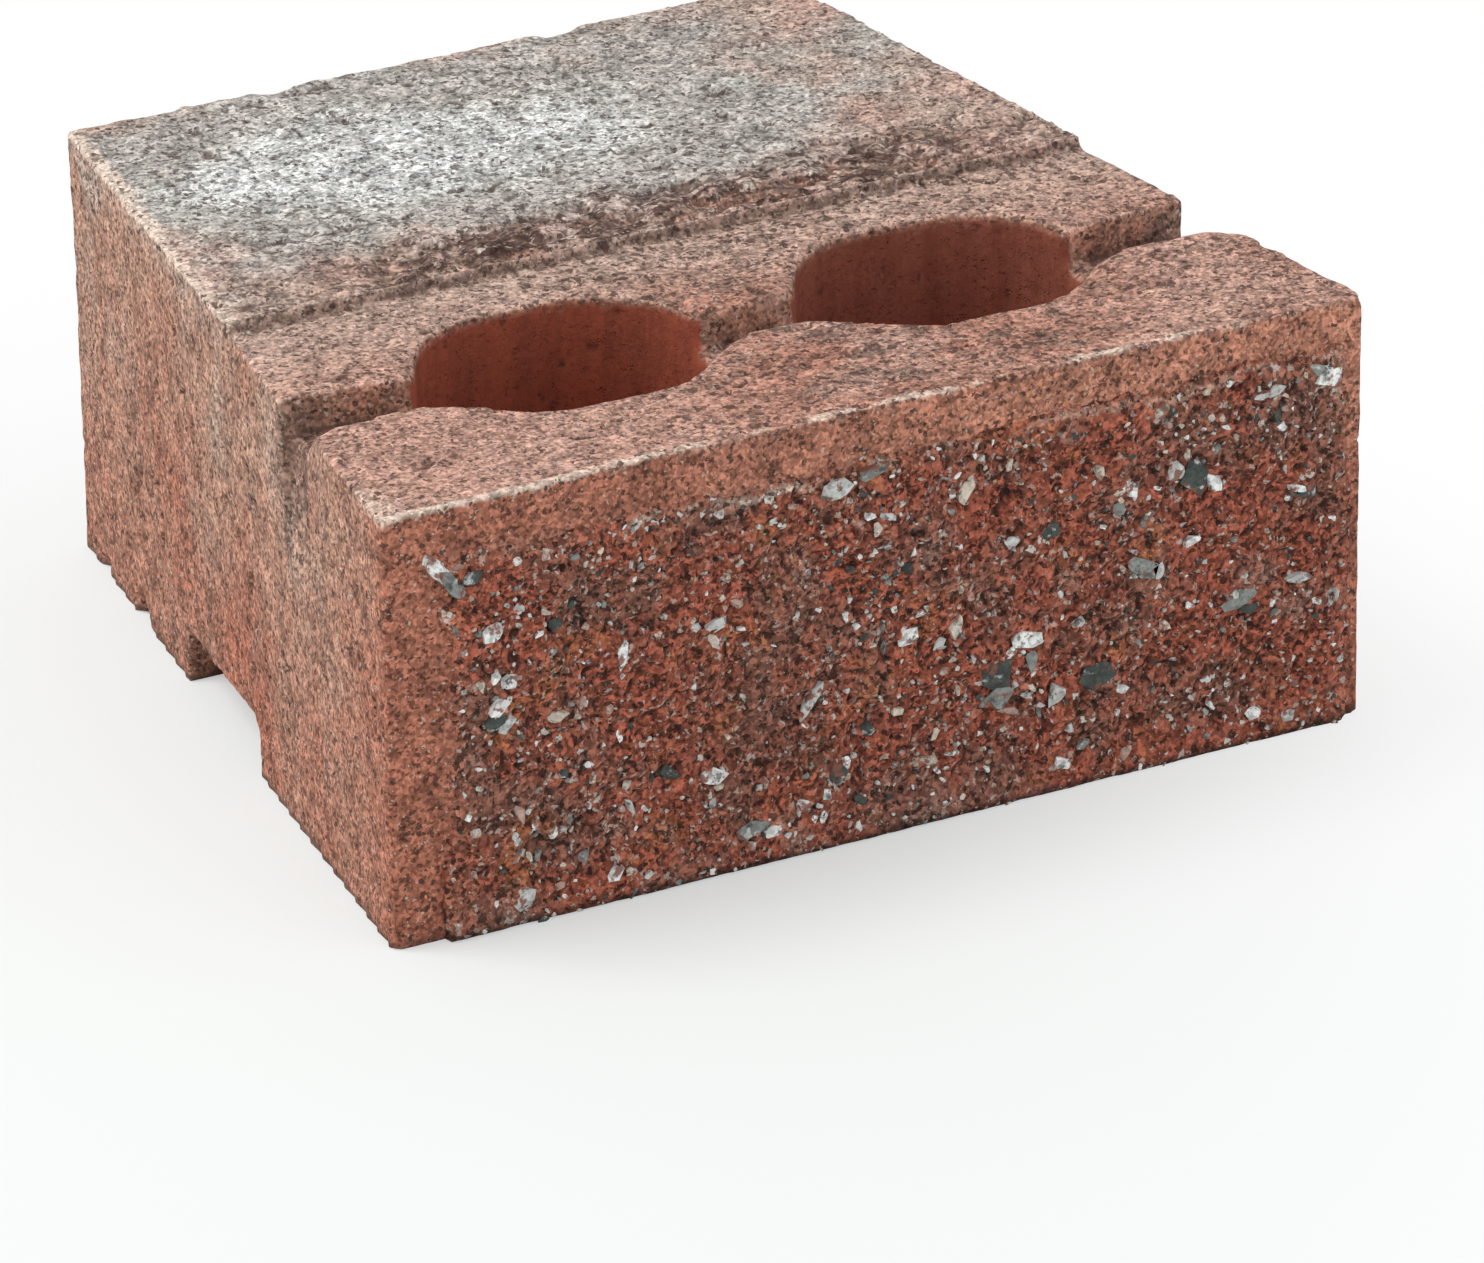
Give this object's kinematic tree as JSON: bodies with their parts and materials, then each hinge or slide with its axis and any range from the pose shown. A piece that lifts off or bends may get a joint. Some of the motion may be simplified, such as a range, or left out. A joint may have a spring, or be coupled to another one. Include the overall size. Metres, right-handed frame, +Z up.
{
  "type": "concrete wall block",
  "caption": "Pressed concrete wall block with a rough split face, tapered sides, round-ended cores, a cross groove in its top and a channel across its underside.",
  "frame": {"origin": "middle of the block's footprint on the floor", "axes": "+Z up, +Y from the split face to the back, +X to the right of someone who faces the split face"},
  "size_m": [0.2992, 0.28, 0.1305],
  "materials": {
    "concrete": "red-brown pressed concrete, rough and matt, with pale and grey stone chips on the split face"
  },
  "bodies": {
    "root": {"wall_block": "concrete"}
  },
  "joints": []
}
